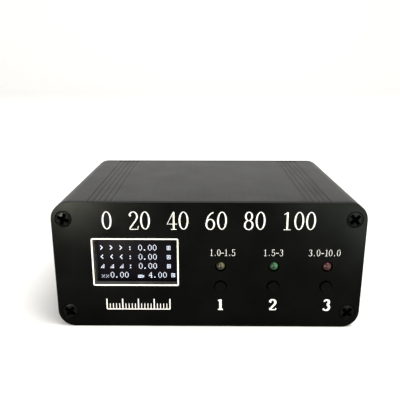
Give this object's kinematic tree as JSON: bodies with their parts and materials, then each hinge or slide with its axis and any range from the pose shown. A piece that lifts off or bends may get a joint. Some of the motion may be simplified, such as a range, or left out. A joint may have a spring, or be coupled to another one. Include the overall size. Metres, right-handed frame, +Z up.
{
  "type": "swr meter",
  "caption": "Small table-top standing-wave and power meter in a flat extruded case, with display, indicators, push buttons, coaxial sockets and a slide switch.",
  "frame": {"origin": "centre of the case's underside, midway between the outer faces of the two panels", "axes": "+X to the right seen from the front, +Y from the front panel to the rear panel, +Z up"},
  "size_m": [0.088, 0.0742, 0.038],
  "materials": {
    "black_anodised": "fine matt black anodising",
    "black_steel": "black zinc",
    "screen_film": "dark polished film",
    "display_glass": "polished",
    "green_board": "solder mask",
    "black_plastic": "moulded",
    "yellow_lens": "tinted clear",
    "green_lens": "tinted clear",
    "red_lens": "tinted clear",
    "nickel": "nickel plate",
    "white_plastic": "turned insulator",
    "gold_contact": "gold flash",
    "ferrite": "coated powder core",
    "copper": "bare and enamelled wire",
    "silver_pouch": "laminate pouch",
    "white_foam": "foam tape",
    "red_sleeve": "silicone sleeve",
    "black_sleeve": "silicone sleeve"
  },
  "bodies": {
    "case": {"antenna_core": "ferrite", "antenna_flange_screw_1": "black_steel", "antenna_flange_screw_2": "black_steel", "antenna_flange_screw_3": "black_steel", "antenna_flange_screw_4": "black_steel", "antenna_line": "copper", "antenna_socket_contact": "gold_contact", "antenna_socket_insulator": "white_plastic", "antenna_socket_shell": "nickel", "antenna_winding": "copper", "battery": "silver_pouch", "battery_lead_black": "black_sleeve", "battery_lead_red": "red_sleeve", "battery_tape": "white_foam", "board_link": "black_plastic", "bottom_shell": "black_anodised", "charger_chip": "black_plastic", "charging_socket_shell": "nickel", "charging_socket_tongue": "black_plastic", "controller_chip": "black_plastic", "display_board": "green_board", "display_film": "screen_film", "display_glass": "display_glass", "display_header": "black_plastic", "front_board": "green_board", "front_panel": "black_anodised", "front_screw_1": "black_steel", "front_screw_2": "black_steel", "front_screw_3": "black_steel", "front_screw_4": "black_steel", "indicator_green": "green_lens", "indicator_red": "red_lens", "indicator_yellow": "yellow_lens", "input_core": "ferrite", "input_flange_screw_1": "black_steel", "input_flange_screw_2": "black_steel", "input_flange_screw_3": "black_steel", "input_flange_screw_4": "black_steel", "input_line": "copper", "input_socket_contact": "gold_contact", "input_socket_insulator": "white_plastic", "input_socket_shell": "nickel", "input_winding": "copper", "main_board": "green_board", "power_switch_body": "nickel", "rear_panel": "black_anodised", "rear_screw_1": "black_steel", "rear_screw_2": "black_steel", "rear_screw_3": "black_steel", "rear_screw_4": "black_steel", "switch_body_1": "black_plastic", "switch_body_2": "black_plastic", "switch_body_3": "black_plastic", "top_shell": "black_anodised"},
    "button_1": {"button_1": "black_plastic"},
    "button_2": {"button_2": "black_plastic"},
    "button_3": {"button_3": "black_plastic"},
    "switch_lever": {"power_switch_lever": "black_plastic"}
  },
  "joints": [
    {"name": "button_1_press", "type": "slide", "parent": "case", "child": "button_1", "axis": [0, 1, 0], "range_m": [0, 0.00025], "stiffness_N_per_m": 1000},
    {"name": "button_2_press", "type": "slide", "parent": "case", "child": "button_2", "axis": [0, 1, 0], "range_m": [0, 0.00025], "stiffness_N_per_m": 1000},
    {"name": "button_3_press", "type": "slide", "parent": "case", "child": "button_3", "axis": [0, 1, 0], "range_m": [0, 0.00025], "stiffness_N_per_m": 1000},
    {"name": "power_switch_slide", "type": "slide", "parent": "case", "child": "switch_lever", "axis": [1, 0, 0], "range_m": [0, 0.002]}
  ]
}
